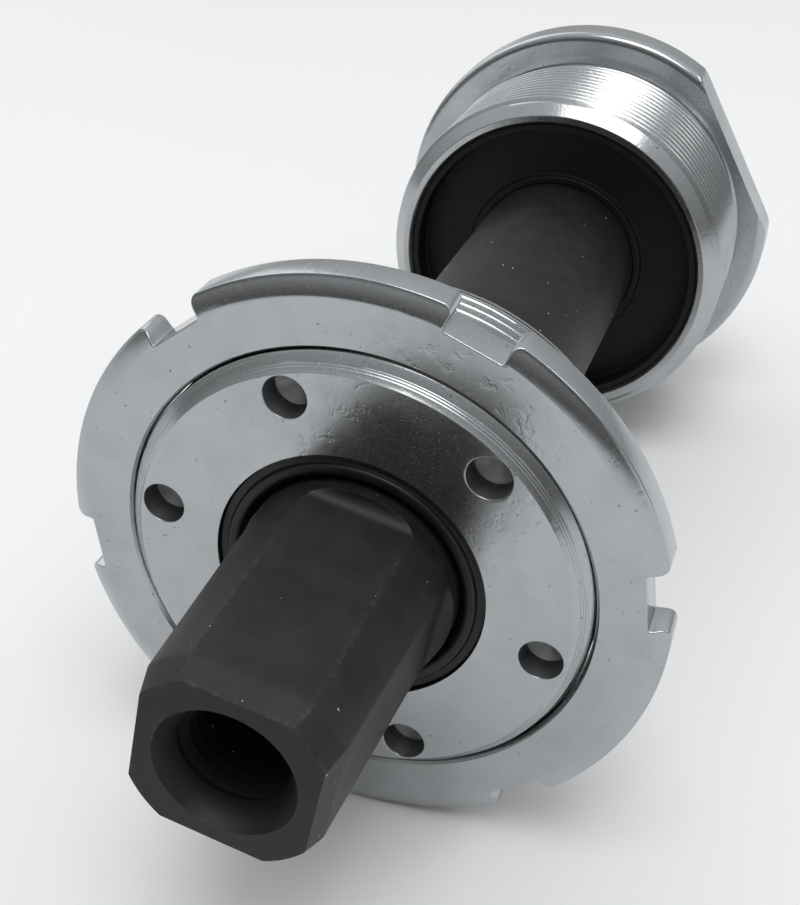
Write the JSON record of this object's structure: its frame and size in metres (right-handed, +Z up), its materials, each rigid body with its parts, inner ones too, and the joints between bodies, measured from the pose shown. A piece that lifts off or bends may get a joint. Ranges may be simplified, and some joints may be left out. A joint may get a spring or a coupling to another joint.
{
  "type": "bottom bracket",
  "caption": "Square-taper bottom bracket: spindle on caged balls between a flanged fixed cup and an adjustable cup with a notched lockring.",
  "frame": {"origin": "middle of the frame shell on the spindle's axis, which is also the middle of the spindle", "axes": "+X along the spindle to the drive side, +Y forward on the bicycle, +Z up"},
  "size_m": [0.116, 0.045, 0.045],
  "materials": {
    "chrome_plate": "satin chrome plate on steel",
    "black_oxide": "black oxide on turned and milled steel",
    "seal_rubber": "smooth moulded rubber",
    "shield_plastic": "moulded black plastic",
    "cage_steel": "pressed steel",
    "ball_steel": "ground and polished steel"
  },
  "bodies": {
    "drive_cup": {"fixed_cup": "chrome_plate", "right_seal": "seal_rubber", "right_inner_shield": "shield_plastic"},
    "spindle": {"spindle": "black_oxide"},
    "right_bearing": {"right_ball_cage": "cage_steel", "right_ball_1": "ball_steel", "right_ball_2": "ball_steel", "right_ball_3": "ball_steel", "right_ball_4": "ball_steel", "right_ball_5": "ball_steel", "right_ball_6": "ball_steel", "right_ball_7": "ball_steel", "right_ball_8": "ball_steel", "right_ball_9": "ball_steel"},
    "left_bearing": {"left_ball_cage": "cage_steel", "left_ball_1": "ball_steel", "left_ball_2": "ball_steel", "left_ball_3": "ball_steel", "left_ball_4": "ball_steel", "left_ball_5": "ball_steel", "left_ball_6": "ball_steel", "left_ball_7": "ball_steel", "left_ball_8": "ball_steel", "left_ball_9": "ball_steel"},
    "cup_carriage": {"left_seal": "seal_rubber", "left_inner_shield": "shield_plastic"},
    "adjustable_cup": {"adjustable_cup": "chrome_plate"},
    "lockring": {"lockring": "chrome_plate"}
  },
  "joints": [
    {"name": "spindle_spin", "type": "hinge", "parent": "drive_cup", "child": "spindle", "pos_m": [0, 0, 0], "axis": [1, 0, 0], "continuous": true},
    {"name": "right_bearing_spin", "type": "hinge", "parent": "drive_cup", "child": "right_bearing", "pos_m": [0.0312, 0, 0], "axis": [1, 0, 0], "continuous": true},
    {"name": "left_bearing_spin", "type": "hinge", "parent": "cup_carriage", "child": "left_bearing", "pos_m": [-0.0312, 0, 0], "axis": [1, 0, 0], "continuous": true},
    {"name": "cup_travel", "type": "slide", "parent": "drive_cup", "child": "cup_carriage", "axis": [-1, 0, 0], "range_m": [0, 0.00212]},
    {"name": "cup_turn", "type": "hinge", "parent": "cup_carriage", "child": "adjustable_cup", "pos_m": [-0.034, 0, 0], "axis": [-1, 0, 0], "range_deg": [0, 720]},
    {"name": "lockring_turn", "type": "hinge", "parent": "adjustable_cup", "child": "lockring", "pos_m": [-0.0355, 0, 0], "axis": [-1, 0, 0], "range_deg": [0, 360]}
  ],
  "couplings": [
    {"joint": "right_bearing_spin", "follows": "spindle_spin", "ratio": 0.4},
    {"joint": "left_bearing_spin", "follows": "spindle_spin", "ratio": 0.4},
    {"joint": "cup_travel", "follows": "cup_turn", "m_per_rad": 0.00016844}
  ]
}
